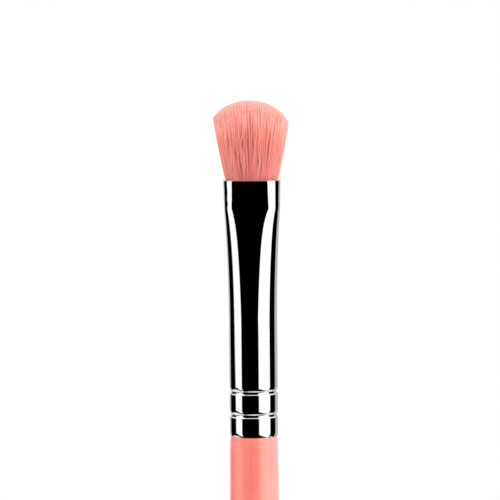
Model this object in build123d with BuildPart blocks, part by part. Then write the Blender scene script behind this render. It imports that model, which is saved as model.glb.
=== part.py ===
from build123d import *
import os
from math import cos, radians, sin, tan

# A small flat make-up brush: turned and lacquered wooden handle, plated ferrule, tuft of dyed filaments.
# Millimetres. The origin is the middle of the handle's butt end and +Z runs up the brush, tuft at the top.
# X is the wide way of the flattened tuft and Y is its thin way.

os.makedirs("parts", exist_ok=True)

# Lengths along the brush
brush_length = 172.0
tuft_exposed = 11.3
ferrule_length = 36.25
mouth_z = brush_length - tuft_exposed
ferrule_z = mouth_z - ferrule_length

# Ferrule: a drawn tube, pressed to an oval at the mouth
tube_r = 3.42
wall = 0.25
bore_r = tube_r - wall
mouth_half_width = 4.06
mouth_half_depth = 2.54
press_half_width = 3.95
press_half_depth = 2.25
press_length = 4.0
swell_length = 16.3
swell_slope_depth = 0.40
press_z = mouth_z - press_length
round_z = press_z - swell_length
swell_steps = 24
lip_fillet = 0.06

# Each oval has two flat arcs of this half angle and two round ends
side_turn = radians(12)

# Two crimps that lock the tube on the tenon, and the rolled lower edge
crimp_heights = [3.02, 6.30]
crimp_depth = 0.19
crimp_lower_reach = 0.33
crimp_root_r = 0.43
crimp_slope = radians(28)
roll_r = 1.5
roll_turn = 22.0

# Handle: outer radii of the lacquer at its stations, from the butt end up
lacquer = 0.12
butt_flat_r = 1.2
butt_r = 2.1
butt_z = 1.5
belly_r = 3.65
belly_low_z = 88.0
belly_high_z = 98.0
belly_crown = 0.02
neck_r = 3.42
neck_z = 122.2
shoulder_r = 3.30
shoulder_z = ferrule_z - 0.05

# Tenon inside the ferrule, and the glue film around it
glue_film = 0.12
tenon_r = bore_r - glue_film
tenon_top_z = round_z - 0.1
tenon_chamfer = 0.4
glue_low_z = ferrule_z + 0.9
glue_high_z = tenon_top_z - 0.8

# Filament bundle inside the ferrule
root_r = 2.70
root_low_z = 147.0
root_round_top_z = 150.2
root_gap = 0.12
resin_low_z = 146.0
resin_high_z = 152.0
thread_r = 0.11
thread_turns = 5
thread_low_z = 148.0

# Tuft: it turns about the X line at pivot_z, and its underside is a wheel about that line
flex_gap = 0.3
pivot_z = mouth_z + 0.6
tuft_base_half_width = 3.66
tuft_base_half_depth = 1.8
root_top_z = pivot_z - tuft_base_half_depth - flex_gap
flare_half_width = 5.3
flare_half_depth = 2.8
flare_z = 169.3
dome_r = 6.8
dome_edge_r = 4.9
dome_half_depth = 3.0


def oval(z, half_width, half_depth):
    """A level closed outline of four tangent arcs, flat on its two long sides. It may be a circle."""
    lost = tan(side_turn / 2)
    end_r = (half_depth - half_width * lost) / (1 - lost)
    join_x = half_width - end_r + end_r * sin(side_turn)
    join_y = end_r * cos(side_turn)
    with BuildSketch(Plane.XY.offset(z)) as section:
        with BuildLine():
            ThreePointArc((-join_x, join_y), (0, half_depth), (join_x, join_y))
            ThreePointArc((join_x, join_y), (half_width, 0), (join_x, -join_y))
            ThreePointArc((join_x, -join_y), (0, -half_depth), (-join_x, -join_y))
            ThreePointArc((-join_x, -join_y), (-half_width, 0), (-join_x, join_y))
        make_face()
    return section.sketch


def tube_section(share, inset):
    """The ferrule's outline, inset from its outside: share 0 is the pressed oval, 1 the round tube.

    The tube thins evenly by swell_slope_depth, and loses the rest of its depth close to the pressed flat.
    """
    pressed = 1 - share
    shoulder_depth = tube_r - press_half_depth - swell_slope_depth
    half_width = tube_r + (press_half_width - tube_r) * pressed**2
    half_depth = tube_r - swell_slope_depth * pressed**1.1 - shoulder_depth * pressed**8.5
    return oval(press_z - share * swell_length, half_width - inset, half_depth - inset)


def swell_sections(inset):
    """Sections from the round tube up to where the pressed flat begins, closer together near the flat."""
    return [tube_section((step / swell_steps) ** 1.5, inset) for step in range(swell_steps, -1, -1)]


def pressed_sections(inset):
    """The two ends of the pressed stretch, which opens slightly to the mouth."""
    return [tube_section(0, inset), oval(mouth_z, mouth_half_width - inset, mouth_half_depth - inset)]


def crimped_line(radius, low, high):
    """A line up the tube at this radius, stepping in at each crimp.

    A crimp's lower edge is crisp. Above its floor the wall leans back at crimp_slope and eases into the tube.
    """
    root_rise = crimp_root_r * sin(crimp_slope)
    root_step = crimp_root_r * (1 - cos(crimp_slope))
    whole_rise = crimp_depth / tan(crimp_slope / 2)
    start = low
    for height in crimp_heights:
        floor_z = ferrule_z + height
        lower_edge = (radius, floor_z - crimp_lower_reach)
        crimp_floor = (radius - crimp_depth, floor_z)
        flank = (radius - crimp_depth + root_step, floor_z + root_rise)
        upper_edge = (radius, floor_z + whole_rise)
        Line((radius, start), lower_edge)
        TangentArc(crimp_floor, lower_edge, tangent=(0, -1))
        TangentArc(crimp_floor, flank, tangent=(0, 1))
        TangentArc(flank, upper_edge, tangent=(sin(crimp_slope), cos(crimp_slope)))
        start = floor_z + whole_rise
    Line((radius, start), (radius, high))


def handle_outline(inset, crown):
    """The handle's side from the butt end's middle to the shoulder, inset from the lacquer's outside.

    The belly bulges by crown: the turned wood keeps a slight one, and the lacquer is ground straight.
    """
    flat = (butt_flat_r - inset / 2, inset)
    butt = (butt_r - inset, butt_z)
    belly_low = (belly_r - inset, belly_low_z)
    belly_high = (belly_r - inset, belly_high_z)
    neck = (neck_r - inset, neck_z)
    shoulder = (shoulder_r - inset, shoulder_z)
    Line((0, inset), flat)
    TangentArc(butt, flat, tangent=(-0.02, -1))
    Spline(butt, belly_low, tangents=[(0.02, 1), (0, 1)])
    if crown:
        middle = (belly_r - inset + crown, (belly_low_z + belly_high_z) / 2)
        ThreePointArc(belly_low, middle, belly_high)
    else:
        Line(belly_low, belly_high)
    Spline(belly_high, neck, tangents=[(0, 1), (-0.004, 1)])
    TangentArc(neck, shoulder, tangent=(-0.004, 1))


# ---------------------------------------------------------------- handle

with BuildPart() as handle_core:
    with BuildSketch(Plane.XZ):
        with BuildLine():
            handle_outline(lacquer, belly_crown)
            Line((shoulder_r - lacquer, shoulder_z), (tenon_r, shoulder_z))
            crimped_line(tenon_r, shoulder_z, tenon_top_z - tenon_chamfer)
            Line((tenon_r, tenon_top_z - tenon_chamfer), (tenon_r - tenon_chamfer, tenon_top_z))
            Line((tenon_r - tenon_chamfer, tenon_top_z), (0, tenon_top_z))
            Line((0, tenon_top_z), (0, lacquer))
        make_face()
    revolve(axis=Axis.Z)
handle_core.part.label = "handle_core"

with BuildPart() as handle_lacquer:
    with BuildSketch(Plane.XZ):
        with BuildLine():
            handle_outline(0, 0)
            handle_outline(lacquer, belly_crown)
            Line((shoulder_r, shoulder_z), (shoulder_r - lacquer, shoulder_z))
            Line((0, 0), (0, lacquer))
        make_face()
    revolve(axis=Axis.Z)
handle_lacquer.part.label = "handle_lacquer"

# ---------------------------------------------------------------- ferrule

roll_z = ferrule_z + roll_r * sin(radians(roll_turn))
roll_centre_r = tube_r - roll_r


def roll_point(radius, turn):
    """A point of the rolled edge's profile, turned this many degrees in from the tube's side."""
    return (roll_centre_r + radius * cos(radians(turn)), roll_z - radius * sin(radians(turn)))


with BuildPart() as ferrule:
    with BuildSketch(Plane.XZ):
        with BuildLine():
            crimped_line(tube_r, roll_z, round_z)
            Line((tube_r, round_z), (bore_r, round_z))
            crimped_line(bore_r, roll_z, round_z)
            for radius in (roll_r, roll_r - wall):
                ThreePointArc(
                    roll_point(radius, 0), roll_point(radius, roll_turn / 2), roll_point(radius, roll_turn)
                )
            Line(roll_point(roll_r, roll_turn), roll_point(roll_r - wall, roll_turn))
        make_face()
    revolve(axis=Axis.Z)
    loft(sections=swell_sections(0), ruled=True)
    loft(sections=swell_sections(wall), ruled=True, mode=Mode.SUBTRACT)
    loft(sections=pressed_sections(0), ruled=True)
    loft(sections=pressed_sections(wall), ruled=True, mode=Mode.SUBTRACT)
    fillet(ferrule.edges().group_by(Axis.Z)[-1], lip_fillet)
ferrule.part.label = "ferrule"

# ---------------------------------------------------------------- what the ferrule hides

with BuildPart() as tenon_glue:
    with BuildSketch(Plane.XZ):
        with BuildLine():
            crimped_line(bore_r, glue_low_z, glue_high_z)
            crimped_line(tenon_r, glue_low_z, glue_high_z)
            Line((bore_r, glue_low_z), (tenon_r, glue_low_z))
            Line((bore_r, glue_high_z), (tenon_r, glue_high_z))
        make_face()
    revolve(axis=Axis.Z)
tenon_glue.part.label = "tenon_glue"

with BuildPart() as filament_roots:
    with BuildSketch(Plane.XY.offset(root_low_z)):
        Circle(root_r)
    extrude(amount=root_round_top_z - root_low_z)
    loft(sections=[oval(root_round_top_z, root_r, root_r), tube_section(0, wall + root_gap)], ruled=True)
    add(tube_section(0, wall + root_gap))
    extrude(amount=root_top_z - press_z)
filament_roots.part.label = "filament_roots"

with BuildPart() as binding_thread:
    for turn in range(thread_turns):
        height = thread_low_z + turn * 2 * thread_r
        with BuildSketch(Plane.XZ):
            with Locations((root_r + thread_r, height)):
                Circle(thread_r)
        revolve(axis=Axis.Z)
binding_thread.part.label = "binding_thread"

with BuildPart() as resin_plug:
    loft(sections=swell_sections(wall), ruled=True)
    resin_height = resin_high_z - resin_low_z
    with Locations((0, 0, resin_low_z)):
        Cylinder(2 * tube_r, resin_height, align=(Align.CENTER, Align.CENTER, Align.MIN), mode=Mode.INTERSECT)
    add(filament_roots.part, mode=Mode.SUBTRACT)
    with Locations((0, 0, thread_low_z - thread_r)):
        Cylinder(
            root_r + 2 * thread_r,
            2 * thread_r * thread_turns,
            align=(Align.CENTER, Align.CENTER, Align.MIN),
            mode=Mode.SUBTRACT,
        )
resin_plug.part.label = "resin_plug"

# ---------------------------------------------------------------- tuft

flex_axis = Axis((0, 0, pivot_z), (1, 0, 0))
dome_centre_z = brush_length - dome_r
dome_axis = Axis((0, 0, dome_centre_z), (0, 1, 0))

with BuildPart() as filament_tuft:
    base = oval(pivot_z, tuft_base_half_width, tuft_base_half_depth)
    widest = oval(flare_z, flare_half_width, flare_half_depth)
    over = oval(brush_length + 0.5, flare_half_width, flare_half_depth)
    loft(sections=[base, widest], ruled=True)
    loft(sections=[widest, over], ruled=True)
    with BuildSketch(Plane.XY.offset(pivot_z)):
        add(base)
        split(bisect_by=Plane.XZ)
    revolve(axis=flex_axis)
    with BuildSketch(Plane.YZ):
        with BuildLine():
            Polyline(
                (-dome_half_depth, dome_centre_z + dome_edge_r),
                (-dome_half_depth, dome_centre_z),
                (dome_half_depth, dome_centre_z),
                (dome_half_depth, dome_centre_z + dome_edge_r),
            )
            ThreePointArc(
                (-dome_half_depth, dome_centre_z + dome_edge_r),
                (0, brush_length),
                (dome_half_depth, dome_centre_z + dome_edge_r),
            )
        make_face()
    revolve(axis=dome_axis, mode=Mode.INTERSECT)
filament_tuft.part.label = "filament_tuft"

sub_parts = [
    handle_core,
    handle_lacquer,
    ferrule,
    tenon_glue,
    filament_roots,
    binding_thread,
    resin_plug,
    filament_tuft,
]
for sub_part in sub_parts:
    export_step(sub_part.part, f"parts/{sub_part.part.label}.step")
    print(sub_part.part.label, len(sub_part.part.solids()), round(sub_part.part.volume, 2))
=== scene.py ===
from math import cos, pi, radians, sin, sqrt

import bpy
import numpy as np
from mathutils import Matrix, Vector


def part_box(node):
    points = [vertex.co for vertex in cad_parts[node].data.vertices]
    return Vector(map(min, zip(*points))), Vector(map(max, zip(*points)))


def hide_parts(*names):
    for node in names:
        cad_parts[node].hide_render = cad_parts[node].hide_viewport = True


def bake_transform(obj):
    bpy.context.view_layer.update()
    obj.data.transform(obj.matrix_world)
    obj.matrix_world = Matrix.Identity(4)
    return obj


# The make-up brush in metres: +Z up the brush, X its wide way, the camera on the -Y side.

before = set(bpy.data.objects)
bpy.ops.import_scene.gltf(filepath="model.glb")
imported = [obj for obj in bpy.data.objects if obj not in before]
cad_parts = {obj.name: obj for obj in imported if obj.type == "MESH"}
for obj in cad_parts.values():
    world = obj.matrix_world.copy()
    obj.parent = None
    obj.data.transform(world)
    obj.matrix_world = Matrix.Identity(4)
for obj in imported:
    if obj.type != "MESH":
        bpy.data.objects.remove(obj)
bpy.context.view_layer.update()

MM = 0.001
mouth_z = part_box("ferrule")[1].z
roots_top_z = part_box("filament_roots")[1].z
tuft_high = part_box("filament_tuft")[1]
tip_z = tuft_high.z


# ---------------------------------------------------------------- camera

# A long lens, a little higher than the brush's tip, looks slightly down at the ferrule's upper half.
CAMERA_DISTANCE = 0.415
CAMERA_ABOVE_TIP = 3.2 * MM
AIM_BELOW_MOUTH = 9.88 * MM
AIM_LEFT_OF_AXIS = 0.34 * MM
CAMERA_ROLL = radians(-0.5)
LENS = 211.45
SENSOR = 36.0


def make_camera():
    data = bpy.data.cameras.new("camera")
    data.sensor_width = SENSOR
    data.lens = LENS
    data.clip_start = 0.01
    camera = bpy.data.objects.new("camera", data)
    bpy.context.scene.collection.objects.link(camera)
    place = Vector((-AIM_LEFT_OF_AXIS, -CAMERA_DISTANCE, tip_z + CAMERA_ABOVE_TIP))
    aim = Vector((-AIM_LEFT_OF_AXIS, 0, mouth_z - AIM_BELOW_MOUTH))
    turn = (aim - place).to_track_quat("-Z", "Y").to_matrix().to_4x4()
    camera.matrix_world = Matrix.Translation(place) @ turn @ Matrix.Rotation(CAMERA_ROLL, 4, "Z")
    bpy.context.scene.camera = camera


make_camera()


# ---------------------------------------------------------------- node helpers


def add_node(tree, kind, **inputs):
    """A node of this kind, its inputs set to values or linked to sockets."""
    made = tree.nodes.new(kind)
    for name, value in inputs.items():
        set_input(tree, made.inputs[name.replace("_", " ")], value)
    return made


def set_input(tree, socket, value):
    """Sets an input to a value, or links it to an output."""
    if isinstance(value, bpy.types.NodeSocket):
        tree.links.new(value, socket)
    else:
        socket.default_value = value


def compute(tree, operation, a, b=0.0):
    """The result of a math node."""
    made = tree.nodes.new("ShaderNodeMath")
    made.operation = operation
    set_input(tree, made.inputs[0], a)
    set_input(tree, made.inputs[1], b)
    return made.outputs[0]


def rescale(tree, value, low, high, new_low=0.0, new_high=1.0):
    """The value moved from the range low to high to the new range, and held inside it."""
    made = tree.nodes.new("ShaderNodeMapRange")
    for index, given in enumerate((value, low, high, new_low, new_high)):
        set_input(tree, made.inputs[index], given)
    return made.outputs[0]


def ramp(tree, share, stops):
    """A colour ramp through (place, colour) stops."""
    made = tree.nodes.new("ShaderNodeValToRGB")
    set_input(tree, made.inputs[0], share)
    elements = made.color_ramp.elements
    while len(elements) < len(stops):
        elements.new(0.5)
    for element, (place, colour) in zip(elements, stops):
        element.position = place
        element.color = (*colour, 1.0)
    return made.outputs[0]


def mix(tree, share, a, b):
    """The colour a, or b where share is 1."""
    made = tree.nodes.new("ShaderNodeMix")
    made.data_type = "RGBA"
    for index, given in ((0, share), (6, a), (7, b)):
        set_input(tree, made.inputs[index], given)
    return made.outputs[2]


def mix_shaders(tree, share, a, b):
    """The shader a, or b where share is 1."""
    made = tree.nodes.new("ShaderNodeMixShader")
    for index, given in enumerate((share, a.outputs[0], b.outputs[0])):
        set_input(tree, made.inputs[index], given)
    return made


def grey(level):
    return (level, level, level)


# ---------------------------------------------------------------- studio

# Softboxes and flags round the brush. Each starts at a bearing in degrees, counted from the camera's and to
# its right. Then come its brightness in the mirror polish, which burns out on it, and in other gloss.
IN_MIRROR, IN_GLOSS = 1, 2
STUDIO_BANDS = [
    (-180, 0.6, 0.9),
    (-142, 0.0, 0.8),
    (-101, 1.12, 2.5),
    (-59, 0.0, 0.0),
    (25.4, 1.12, 6.0),
    (85, 0.0, 3.2),
    (126, 0.5, 1.4),
]
# Half of the soft edge between two of them, in degrees
BAND_EDGE = 0.8

# How far below the horizon the softboxes and flags end, as sines by bearing, and half of that soft edge.
# Under them it is dark down to the table.
FOOT_EDGE = 0.02
FEET = [
    (-180, 0.9),
    (-143, 0.9),
    (-141, 0.08),
    (-100, 0.08),
    (-88, 0.15),
    (-72, 0.42),
    (-58, 0.55),
    (27, 0.3),
    (50, 0.54),
    (80, 0.62),
]

# How bright the table is, and how far below the horizon it starts, as sines by bearing
TABLE = 0.85
TABLE_EDGE = 0.05
TABLE_FROM = [
    (-180, 0.3),
    (-98, 0.36),
    (-84, 0.5),
    (-70, 0.62),
    (-58, 0.75),
    (55, 0.72),
    (85, 0.6),
    (95, 0.45),
    (180, 0.4),
]

# How bright the overhead light is, and how high above the horizon it starts, as sines by bearing
OVERHEAD = 1.0
OVERHEAD_EDGE = 0.06
OVERHEAD_FROM = [(-180, 0.35), (-98, 0.4), (-58, 0.82), (27, 0.82), (85, 0.45), (180, 0.35)]


def band_stops(column):
    """One column of the bands as ramp stops, with a soft edge between two of them, and its brightest."""
    levels = [band[column] for band in STUDIO_BANDS]
    most = max(levels)
    stops = [(0.0, grey(levels[0] / most))]
    for band, before, level in zip(STUDIO_BANDS[1:], levels, levels[1:]):
        stops.append(((band[0] - BAND_EDGE + 180) / 360, grey(before / most)))
        stops.append(((band[0] + BAND_EDGE + 180) / 360, grey(level / most)))
    return stops, most


def curve_stops(curve):
    """A curve of levels by bearing as ramp stops."""
    return [((bearing + 180) / 360, grey(level)) for bearing, level in curve]


def studio_light(tree, direction, column):
    """What a reflection sees round the brush: softboxes, flags, the overhead light and the table."""
    parts = add_node(tree, "ShaderNodeSeparateXYZ", Vector=direction).outputs
    azimuth = compute(tree, "ARCTAN2", parts["X"], compute(tree, "MULTIPLY", parts["Y"], -1.0))
    turn = rescale(tree, azimuth, -pi, pi)
    stops, brightest = band_stops(column)
    bands = ramp(tree, turn, stops)
    above_foot = compute(tree, "ADD", parts["Z"], ramp(tree, turn, curve_stops(FEET)))
    bands = mix(tree, rescale(tree, above_foot, -FOOT_EDGE, FOOT_EDGE), (0, 0, 0, 1), bands)
    above_edge = compute(tree, "SUBTRACT", parts["Z"], ramp(tree, turn, curve_stops(OVERHEAD_FROM)))
    overhead = rescale(tree, above_edge, 0.0, OVERHEAD_EDGE)
    light = mix(tree, overhead, bands, (*grey(OVERHEAD / brightest), 1.0))
    below_edge = compute(tree, "ADD", parts["Z"], ramp(tree, turn, curve_stops(TABLE_FROM)))
    table = rescale(tree, below_edge, 0.0, -TABLE_EDGE)
    light = mix(tree, table, light, (*grey(TABLE / brightest), 1.0))
    return add_node(tree, "ShaderNodeBackground", Color=light, Strength=brightest)


# What dull surfaces gather: an even room and three broad lights, each with its direction and brightness.
ROOM = 0.22
SOFT_LIGHTS = [((0.98, 0.1, 0.15), 1.95), ((-0.97, 0.1, 0.2), 1.35), ((0.1, -0.25, 1.0), 1.3)]


def soft_light(tree, direction):
    """The soft room: a level all round, and more from each broad light's side."""
    level = ROOM
    for toward, strength in SOFT_LIGHTS:
        side = tree.nodes.new("ShaderNodeVectorMath")
        side.operation = "DOT_PRODUCT"
        set_input(tree, side.inputs[0], direction)
        side.inputs[1].default_value = Vector(toward).normalized()
        level = compute(tree, "ADD", level, rescale(tree, side.outputs["Value"], 0.0, 1.0, 0.0, strength))
    return add_node(tree, "ShaderNodeBackground", Color=(1, 1, 1, 1), Strength=level)


def make_world():
    """White to the camera, the studio to mirrors and gloss, and a soft room to everything else."""
    world = bpy.data.worlds.new("studio")
    world.use_nodes = True
    bpy.context.scene.world = world
    tree = world.node_tree
    tree.nodes.clear()
    direction = add_node(tree, "ShaderNodeTexCoord").outputs["Generated"]
    rays = add_node(tree, "ShaderNodeLightPath").outputs
    backdrop = add_node(tree, "ShaderNodeBackground", Color=(1, 1, 1, 1), Strength=1.0)
    mirrored = studio_light(tree, direction, IN_MIRROR)
    glossed = mix_shaders(tree, rays["Is Singular Ray"], studio_light(tree, direction, IN_GLOSS), mirrored)
    lit = mix_shaders(tree, rays["Is Glossy Ray"], soft_light(tree, direction), glossed)
    seen = mix_shaders(tree, rays["Is Camera Ray"], lit, backdrop)
    out = tree.nodes.new("ShaderNodeOutputWorld")
    tree.links.new(seen.outputs[0], out.inputs[0])


# The table top: it lies a hair under the butt end, and fades out between two shares of its radius.
FLOOR_RADIUS = 0.55
FLOOR_RINGS = 12
FLOOR_SIDES = 96
FLOOR_GAP = 0.02 * MM
FLOOR_FADES = (0.25 * FLOOR_RADIUS, 0.95 * FLOOR_RADIUS)


def make_floor():
    """A pale round table top that fades into the white backdrop, so that it has no edge."""
    rings = [FLOOR_RADIUS * (ring + 1) / FLOOR_RINGS for ring in range(FLOOR_RINGS)]
    angles = [2 * pi * side / FLOOR_SIDES for side in range(FLOOR_SIDES)]
    points = [(0, 0, 0)] + [(r * cos(a), r * sin(a), 0) for r in rings for a in angles]
    faces = [(0, 1 + side, 1 + (side + 1) % FLOOR_SIDES) for side in range(FLOOR_SIDES)]
    for ring in range(FLOOR_RINGS - 1):
        inner = 1 + ring * FLOOR_SIDES
        outer = inner + FLOOR_SIDES
        for side in range(FLOOR_SIDES):
            after = (side + 1) % FLOOR_SIDES
            faces.append((inner + side, outer + side, outer + after, inner + after))
    data = bpy.data.meshes.new("floor")
    data.from_pydata(points, [], faces)
    floor = bpy.data.objects.new("floor", data)
    bpy.context.scene.collection.objects.link(floor)
    floor.location.z = -FLOOR_GAP
    floor.visible_glossy = False

    material = bpy.data.materials.new("floor")
    material.use_nodes = True
    tree = material.node_tree
    tree.nodes.clear()
    place = add_node(tree, "ShaderNodeTexCoord").outputs["Object"]
    speckle = add_node(tree, "ShaderNodeTexNoise", Vector=place, Scale=60.0, Detail=4.0).outputs["Fac"]
    paper = mix(tree, speckle, (0.86, 0.86, 0.86, 1), (0.9, 0.9, 0.9, 1))
    surface = add_node(tree, "ShaderNodeBsdfPrincipled", Base_Color=paper, Roughness=0.6)
    clear = add_node(tree, "ShaderNodeBsdfTransparent")
    reach = tree.nodes.new("ShaderNodeVectorMath")
    reach.operation = "LENGTH"
    tree.links.new(place, reach.inputs[0])
    faded = rescale(tree, reach.outputs["Value"], *FLOOR_FADES)
    out = tree.nodes.new("ShaderNodeOutputMaterial")
    tree.links.new(mix_shaders(tree, faded, surface, clear).outputs[0], out.inputs[0])
    data.materials.append(material)


make_world()
make_floor()
bpy.context.scene.view_settings.view_transform = "Standard"


# ---------------------------------------------------------------- materials


def new_material(name):
    """An empty node material with its Principled shader already on the output."""
    material = bpy.data.materials.new(name)
    material.use_nodes = True
    tree = material.node_tree
    tree.nodes.clear()
    shader = tree.nodes.new("ShaderNodeBsdfPrincipled")
    out = tree.nodes.new("ShaderNodeOutputMaterial")
    tree.links.new(shader.outputs[0], out.inputs[0])
    return material, tree, shader


def object_point(tree, scale=(1, 1, 1)):
    """The point on the object, in millimetres, stretched by scale."""
    place = add_node(tree, "ShaderNodeTexCoord").outputs["Object"]
    mapping = tree.nodes.new("ShaderNodeMapping")
    mapping.inputs["Scale"].default_value = [factor / MM for factor in scale]
    tree.links.new(place, mapping.inputs["Vector"])
    return mapping.outputs[0]


def noise(tree, point, scale, detail=2.0):
    """Noise from 0 to 1, with about scale lumps to each unit of the point."""
    return add_node(tree, "ShaderNodeTexNoise", Vector=point, Scale=scale, Detail=detail).outputs["Fac"]


def bump(tree, shader, height, strength, distance):
    """Fine relief in the shader's normal."""
    made = add_node(tree, "ShaderNodeBump", Height=height, Strength=strength, Distance=distance)
    tree.links.new(made.outputs[0], shader.inputs["Normal"])


def lacquer_material():
    """Pink lacquer: slightly uneven pigment in faint streaks, faint orange peel and a half-gloss."""
    material, tree, shader = new_material("pink_lacquer")
    point = object_point(tree)
    clouds = compute(tree, "MULTIPLY", noise(tree, point, 0.35, 3.0), 0.4)
    streaks = compute(tree, "MULTIPLY", noise(tree, object_point(tree, (1, 1, 0.02)), 1.1, 3.0), 0.6)
    share = rescale(tree, compute(tree, "ADD", clouds, streaks), 0.3, 0.7)
    colour = mix(tree, share, (0.61, 0.138, 0.107, 1), (0.76, 0.19, 0.148, 1))
    set_input(tree, shader.inputs["Base Color"], colour)
    rub = noise(tree, object_point(tree, (1, 1, 0.15)), 1.2, 4.0)
    set_input(tree, shader.inputs["Roughness"], rescale(tree, rub, 0.3, 0.7, 0.27, 0.33))
    bump(tree, shader, noise(tree, point, 1.6), 0.05, 0.05 * MM)
    return material


def chrome_material():
    """Plated tube: a mirror polish, hair-thin drawing lines in its tint and a trace of unevenness."""
    material, tree, shader = new_material("polished_chrome")
    shader.inputs["Metallic"].default_value = 1.0
    shader.inputs["Roughness"].default_value = 0.0
    lines = noise(tree, object_point(tree, (1, 1, 0.03)), 9.0, 3.0)
    patches = noise(tree, object_point(tree), 0.5, 4.0)
    tint = mix(tree, compute(tree, "MULTIPLY", lines, patches), (0.90, 0.90, 0.91, 1), (0.97, 0.97, 0.97, 1))
    set_input(tree, shader.inputs["Base Color"], tint)
    bump(tree, shader, noise(tree, object_point(tree, (1, 1, 0.6)), 0.22, 1.0), 1.0, 0.008 * MM)
    return material


def filament_material():
    """Dyed filaments, with painted shade towards the roots and painted light towards the tips. Their map runs
    from root to tip, and across it from the darker to the lighter ones, whose shades also carry painted light
    and shade.
    """
    material, tree, shader = new_material("dyed_filament")
    place = add_node(tree, "ShaderNodeUVMap")
    place.uv_map = STRAND_MAP
    parts = add_node(tree, "ShaderNodeSeparateXYZ", Vector=place.outputs[0]).outputs
    # Painted shade and light: darker towards the roots near the mouth, lighter towards the thin tips
    along = ramp(
        tree,
        parts["Y"],
        [
            (0.0, (0.58, 0.13, 0.11)),
            (0.21, (0.62, 0.14, 0.12)),
            (0.34, (0.68, 0.16, 0.125)),
            (0.6, (0.76, 0.187, 0.14)),
            (0.74, (0.91, 0.26, 0.203)),
            (0.84, (0.97, 0.35, 0.287)),
            (1.0, (0.93, 0.41, 0.355)),
        ],
    )
    # The darker and lighter strands, whose shades across the map include painted light and painted shade
    dull = mix(tree, 0.3, along, (0.40, 0.06, 0.05, 1))
    bright = mix(tree, 0.2, along, (1.0, 0.62, 0.5, 1))
    set_input(tree, shader.inputs["Base Color"], mix(tree, parts["X"], dull, bright))
    streak = noise(tree, place.outputs[0], 40.0)
    set_input(tree, shader.inputs["Roughness"], rescale(tree, streak, 0.3, 0.7, 0.36, 0.5))
    return material


def hidden_material(name, dark, light, scale, stretch, roughness):
    """A piece that the ferrule or the lacquer hides: two tones in a stretched grain."""
    material, tree, shader = new_material(name)
    grain = noise(tree, object_point(tree, stretch), scale, 5.0)
    set_input(tree, shader.inputs["Base Color"], mix(tree, grain, (*dark, 1), (*light, 1)))
    shader.inputs["Roughness"].default_value = roughness
    bump(tree, shader, grain, 0.2, 0.05 * MM)
    return material


def paint(node, material):
    """Gives a CAD node this material alone."""
    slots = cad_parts[node].data.materials
    slots.clear()
    slots.append(material)


# ---------------------------------------------------------------- filaments

random = np.random.default_rng(7)

# The strands: tapered tubes with this many sides and steps, gathered in clumps. Towards their tips they fade
# to one shade.
STRAND_MAP = "OFBake"
STRANDS = 3400
CLUMPS = 95
SIDES = 5
STEPS = 14
FILAMENT_R = 0.065 * MM
TIP_R_SHARE = 0.42
TAPER_FROM = 0.78
TIP_FADE = 0.6
TIP_SHADE = 0.55

# How they spread over the bundle's section: closer together towards its rim where OUTWARD is below a half,
# and fuller than an ellipse where FULLNESS is above two
OUTWARD = 0.38
FULLNESS = 2.2
GOLDEN_ANGLE = pi * (3 - sqrt(5))

# The partings on its two faces: how many, how far the strands are pushed aside, how far that reaches, how
# much they lean outward for each millimetre from the middle, and the shares of the depth where they begin
# and are full
PARTINGS = 20
PARTING = 0.14 * MM
PARTING_REACH = 0.3 * MM
PARTING_EDGE = 0.05 * MM
PARTING_LEAN = 0.05
PARTED_FROM = 0.3
PARTED_FULL = 0.65

# The bundle's half sizes. It opens out at once on leaving the mouth, and flares up to the dome of its tips,
# where its sides tuck in and its two faces fold in. It starts a little below the top of its roots.
mouth_half_width = 3.63 * MM
mouth_half_depth = 2.08 * MM
exit_half_width = 3.73 * MM
exit_height = 0.25 * MM
flare_slope = 0.2048
side_tuck = 0.36 * MM
face_fold = 0.4
fold_from = 0.72
top_half_width = tuft_high.x
top_half_depth = tuft_high.y
start_z = roots_top_z - 0.05 * MM

# The dome that the tips are cut to, a little askew. Its rim is never lower than a share of its radius.
dome_r = 6.4 * MM
dome_thin_r = 2.98 * MM
dome_z = tip_z - dome_r
dome_askew = -0.28 * MM
dome_rim = 0.3 * dome_r


def around(x, middle, width):
    """1 at the middle and fading out to both sides, as a bell curve."""
    return np.exp(-(((x - middle) / width) ** 2))


def oval_place(angle, reach):
    """A place in a unit oval that is a little fuller than an ellipse."""
    power = 2 / FULLNESS
    x = np.sign(np.cos(angle)) * np.abs(np.cos(angle)) ** power
    y = np.sign(np.sin(angle)) * np.abs(np.sin(angle)) ** power
    return np.stack([reach * x, reach * y], -1)


def spread(count, jitter):
    """count places over the unit oval, closer together towards its rim."""
    index = np.arange(count) + 0.5
    reach = (index / count) ** OUTWARD + random.normal(0, jitter, count) / sqrt(count)
    return oval_place(index * GOLDEN_ANGLE, np.clip(reach, 0, 1))


def half_width(height):
    """The bundle's half width this high above the mouth."""
    burst = (exit_half_width - mouth_half_width) * (1 - np.exp(-np.maximum(height, 0) / exit_height))
    share = np.clip(height / (tip_z - mouth_z), 0, 1)
    return mouth_half_width + burst + flare_slope * np.maximum(height, 0) - side_tuck * share**4


def half_depth(height):
    """The bundle's half depth this high above the mouth."""
    share = np.clip(height / (tip_z - mouth_z), 0, 1)
    return mouth_half_depth + (top_half_depth - mouth_half_depth) * share**0.8


def folded(share):
    """How much of its depth the bundle keeps this far along, its two faces curving in to the dome."""
    return 1 - face_fold * np.clip((share - fold_from) / (1 - fold_from), 0, 1) ** 2


def dome_height(x, y):
    """How high the trimmed dome is over this place."""
    thin = np.sqrt(np.maximum(dome_thin_r**2 - y**2, 0))
    radius = dome_r - (dome_thin_r - thin)
    return dome_z + np.sqrt(np.maximum(radius**2 - (x - dome_askew) ** 2, dome_rim**2))


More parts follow.
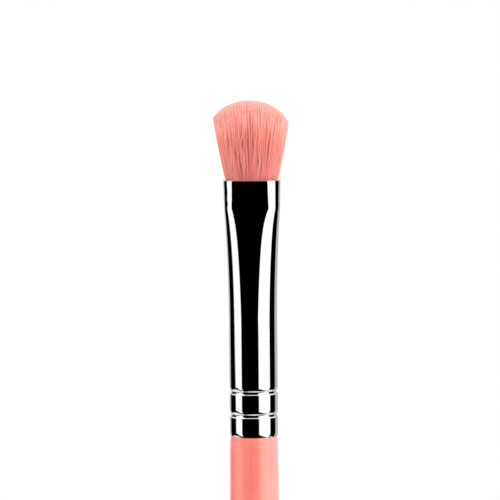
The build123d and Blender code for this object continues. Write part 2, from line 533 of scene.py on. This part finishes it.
def part_locks(x, y, z):
    """Pushes the outer filaments of both faces aside along slanting partings, most of them left of centre."""
    depth = y / half_depth(z - mouth_z)
    for face in (-1, 1):
        outer = np.clip((face * depth - PARTED_FROM) / (PARTED_FULL - PARTED_FROM), 0, 1)
        for _ in range(PARTINGS):
            middle_x = random.normal(-1.2, 1.6) * MM
            middle_z = mouth_z + random.uniform(1.5, 6.8) * MM
            reach = random.uniform(1.3, 2.8) * MM
            slant = PARTING_LEAN * middle_x / MM + random.normal(0.0, 0.09)
            push = random.uniform(0.5, 1.0) * PARTING
            across = x - middle_x - slant * (z - middle_z)
            beside = around(across, 0, PARTING_REACH)
            between_ends = np.clip(1 - ((z - middle_z) / reach) ** 2, 0, 1)
            x = x + np.tanh(across / PARTING_EDGE) * push * (beside * between_ends) * outer
    return x


def strand_lines():
    """Centre lines of all the filaments, (strand, step, xyz), which clump each is in and its unit place."""
    unit = spread(STRANDS, 0.35)
    centres = spread(CLUMPS, 0.5)
    stretch = np.array([top_half_width, top_half_depth])
    gaps = np.linalg.norm((unit[:, None] - centres[None]) * stretch, axis=2)
    clump = np.argmin(gaps, 1)

    # Each runs from the roots to its place on the dome, and the outer ones of both faces end less evenly.
    top = unit * stretch
    length_error = (0.05 + 0.5 * np.abs(unit[:, 1]) ** 3) * MM
    tip = dome_height(top[:, 0], top[:, 1] * folded(1)) - np.abs(random.normal(0, length_error))
    along = np.linspace(0, 1, STEPS + 1)[None, :]
    z = start_z + (tip[:, None] - start_z) * along
    height = z - mouth_z
    free = np.clip(height / (tip[:, None] - mouth_z), 0, 1)

    # Between mouth and dome the strands close up to their clump's middle, most of all left of the centre.
    loose = 0.15 + 0.85 * around(centres[:, 0], -0.32, 0.36)
    gather = 0.3 * np.sin(pi * np.clip(free / fold_from, 0, 1) ** 0.7)
    gather = gather * (loose * random.uniform(0.3, 1.4, CLUMPS))[clump][:, None]
    place = unit[:, None, :] + (centres[clump] - unit)[:, None, :] * gather[:, :, None]
    x = place[:, :, 0] * half_width(height)
    y = place[:, :, 1] * half_depth(height) * folded(free)

    # Each bows and sways a little, with its clump and on its own, but the two sides keep their outline.
    bow = np.sin(pi * free)
    sway = np.sin(2 * pi * free)
    bow_x = (random.normal(0, 0.15 * MM, CLUMPS) * loose)[clump] + random.normal(0, 0.07 * MM, STRANDS)
    sway_x = (random.normal(0, 0.08 * MM, CLUMPS) * loose)[clump] + random.normal(0, 0.04 * MM, STRANDS)
    bow_y = random.normal(0, 0.05 * MM, CLUMPS)[clump] + random.normal(0, 0.03 * MM, STRANDS)
    inside = 1 - np.abs(unit[:, 0]) ** 4
    x = x + (bow * bow_x[:, None] + sway * sway_x[:, None]) * inside[:, None]
    y = y + bow * bow_y[:, None]
    x = part_locks(x, y, z)
    return np.stack([x, y, z], 2), clump, unit


def mapped_object(name, data, shade, along):
    """The mesh as a smooth object, its strand map holding each corner's shade and place from root to tip."""
    uv = data.uv_layers.new(name=STRAND_MAP)
    uv.data.foreach_set("uv", np.stack([shade, along], 1).astype(np.float32).ravel())
    data.polygons.foreach_set("use_smooth", np.ones(len(data.polygons), bool))
    made = bpy.data.objects.new(name, data)
    bpy.context.scene.collection.objects.link(made)
    return made


def strand_radius():
    """A filament's radius from root to tip: even, then a fine taper."""
    along = np.linspace(0, 1, STEPS + 1)
    taper = np.clip((along - TAPER_FROM) / (1 - TAPER_FROM), 0, 1)
    return FILAMENT_R * (1 - (1 - TIP_R_SHARE) * taper**1.3)


def strand_mesh(name, lines, shades):
    """One mesh of tapered tubes along these lines, each with its shade in the strand map."""
    count = len(lines)
    angles = 2 * pi * np.arange(SIDES) / SIDES
    circle = np.stack([np.cos(angles), np.sin(angles), np.zeros(SIDES)], 1)
    radius = strand_radius()[None, :, None, None] * random.uniform(0.8, 1.15, count)[:, None, None, None]
    rings = lines[:, :, None, :] + circle[None, None] * radius
    points = rings.reshape(-1, 3)
    ring = np.arange(STEPS)[:, None] * SIDES
    side = np.arange(SIDES)[None, :]
    after = (side + 1) % SIDES
    walls = np.stack([ring + side, ring + after, ring + SIDES + after, ring + SIDES + side], 2).reshape(-1, 4)
    first = np.arange(count)[:, None, None] * (STEPS + 1) * SIDES
    walls = (walls[None] + first).reshape(-1, 4)
    caps = STEPS * SIDES + np.arange(SIDES)[None, :] + np.arange(count)[:, None] * (STEPS + 1) * SIDES
    data = bpy.data.meshes.new(name)
    loops = np.concatenate([walls.ravel(), caps.ravel()])
    sizes = np.concatenate([np.full(len(walls), 4), np.full(count, SIDES)])
    data.vertices.add(len(points))
    data.vertices.foreach_set("co", points.astype(np.float32).ravel())
    data.loops.add(len(loops))
    data.loops.foreach_set("vertex_index", loops.astype(np.int32))
    data.polygons.add(len(sizes))
    data.polygons.foreach_set("loop_start", (np.cumsum(sizes) - sizes).astype(np.int32))
    data.update(calc_edges=True)
    data.validate()
    step = (loops // SIDES) % (STEPS + 1)
    strand = loops // (SIDES * (STEPS + 1))
    fade = TIP_FADE * (step / STEPS) ** 2
    shade = shades[strand] * (1 - fade) + TIP_SHADE * fade
    return mapped_object(name, data, shade, step / STEPS)


# The packed inside: its mesh, the unevenness of its ribs, its share of the bundle's section, how much more of
# it between two shares of its height, and how much painted light makes it lighter from a share of its height up
PACKED_SIDES = 260
PACKED_STEPS = 24
PACKED_CAP = 10
PACKED_RIB = 0.012
PACKED_SHARE = 0.9
PACKED_TOP_MORE = 0.06
PACKED_MORE_FROM = 0.45
PACKED_MORE_FULL = 0.8
PACKED_PAINTED_LIGHT = 0.5
PACKED_PAINTED_LIGHT_FROM = 0.6
PACKED_BELOW_DOME = 0.35 * MM


def packed_mesh(name):
    """The close-packed inside of the bundle as one ribbed body, with the same map as the strands. Its shades
    are darker than the strands' as painted shade between them, and lighter towards the top as painted light.
    """
    angles = 2 * pi * np.arange(PACKED_SIDES) / PACKED_SIDES
    rib = 1 + random.normal(0, PACKED_RIB, PACKED_SIDES)
    rim = oval_place(angles, 1.0)
    stretch = np.array([top_half_width, top_half_depth]) * (PACKED_SHARE + PACKED_TOP_MORE)
    side_top = dome_height(rim[:, 0] * stretch[0], rim[:, 1] * stretch[1] * folded(1)) - PACKED_BELOW_DOME
    rings = []
    for share in np.linspace(0, 1, PACKED_STEPS + 1):
        z = start_z + (side_top - start_z) * share
        more = np.clip((share - PACKED_MORE_FROM) / (PACKED_MORE_FULL - PACKED_MORE_FROM), 0, 1)
        packing = PACKED_SHARE + PACKED_TOP_MORE * more
        x = rim[:, 0] * rib * half_width(z - mouth_z) * packing
        y = rim[:, 1] * rib * half_depth(z - mouth_z) * packing * folded(share)
        rings.append(np.stack([x, y, z], 1))
    top = rings[-1]
    for reach in np.linspace(1, 0.02, PACKED_CAP + 1)[1:]:
        x = top[:, 0] * reach
        y = top[:, 1] * reach
        rings.append(np.stack([x, y, dome_height(x, y) - PACKED_BELOW_DOME], 1))
    count = len(rings)
    side = np.arange(PACKED_SIDES)
    after = (side + 1) % PACKED_SIDES
    low = np.arange(count - 1)[:, None] * PACKED_SIDES
    high = low + PACKED_SIDES
    faces = np.stack([low + side, low + after, high + after, high + side], 2).reshape(-1, 4)
    data = bpy.data.meshes.new(name)
    data.from_pydata(np.concatenate(rings).tolist(), [], faces.tolist())
    # Painted shade: the inside is darker than the strands, so that the gaps between them look shaded
    shade = random.normal(0.3, 0.2, PACKED_SIDES)
    corner = faces.ravel()
    height = np.minimum(corner // PACKED_SIDES / PACKED_STEPS, 1)
    # Painted light: the ribs get lighter towards the top, under the dome
    lighter = PACKED_PAINTED_LIGHT * np.clip((height - PACKED_PAINTED_LIGHT_FROM) / (1 - PACKED_PAINTED_LIGHT_FROM), 0, 1)
    shade = np.clip(shade[corner % PACKED_SIDES] + lighter, 0.0, 0.98)
    return mapped_object(name, data, shade, height)


# The five pieces of the strands, and how far out in the unit oval its faces and its sides begin
STRAND_PIECES = ("filaments_core", "filaments_front", "filaments_back", "filaments_left", "filaments_right")
FACE_FROM = 0.42
SIDE_FROM = 0.62


def strand_part(unit):
    """Which of the five pieces each strand goes to."""
    part = np.zeros(len(unit), int)
    part[unit[:, 1] < -FACE_FROM] = 1
    part[unit[:, 1] > FACE_FROM] = 2
    part[unit[:, 0] < -SIDE_FROM] = 3
    part[unit[:, 0] > SIDE_FROM] = 4
    return part


def strand_shades(clump, unit):
    """How light each strand is: by clump and on its own, with painted light making it lighter to both sides and
    painted shade making it darker left of centre.
    """
    # Painted light: lighter towards both sides; painted shade: a darker stretch left of centre
    tone = 0.35 * unit[:, 0] ** 2 - 0.15 * around(unit[:, 0], -0.36, 0.33)
    shades = random.normal(0.47, 0.13, CLUMPS)[clump] + random.normal(0, 0.08, STRANDS) + tone
    return np.clip(shades, 0.02, 0.98)


def make_filaments():
    """The tuft's strands and their packed inside, which take the place of the tuft's CAD solid, now hidden."""
    lines, clump, unit = strand_lines()
    shades = strand_shades(clump, unit)
    part = strand_part(unit)
    pieces = []
    for index, name in enumerate(STRAND_PIECES):
        pieces.append(strand_mesh(name, lines[part == index], shades[part == index]))
    pieces.append(packed_mesh("filaments_packed"))
    material = filament_material()
    for piece in pieces:
        piece.data.materials.append(material)
        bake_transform(piece)
        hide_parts("filament_tuft")


make_filaments()

# ---------------------------------------------------------------- paint

# What the ferrule and the lacquer hide: material, two tones, the grain's scale and stretch, and roughness
HIDDEN = {
    "filament_roots": ("root_filaments", (0.6, 0.15, 0.12), (0.85, 0.25, 0.2), 6.0, (1, 1, 0.02), 0.5),
    "handle_core": ("turned_wood", (0.42, 0.26, 0.13), (0.70, 0.50, 0.30), 1.5, (1, 1, 0.06), 0.55),
    "tenon_glue": ("set_glue", (0.62, 0.52, 0.33), (0.74, 0.66, 0.46), 2.0, (1, 1, 1), 0.35),
    "resin_plug": ("cast_resin", (0.66, 0.48, 0.22), (0.82, 0.66, 0.36), 1.0, (1, 1, 1), 0.2),
    "binding_thread": ("waxed_thread", (0.70, 0.67, 0.60), (0.90, 0.88, 0.82), 12.0, (1, 1, 1), 0.6),
}

paint("ferrule", chrome_material())
paint("handle_lacquer", lacquer_material())
for node, look in HIDDEN.items():
    paint(node, hidden_material(*look))
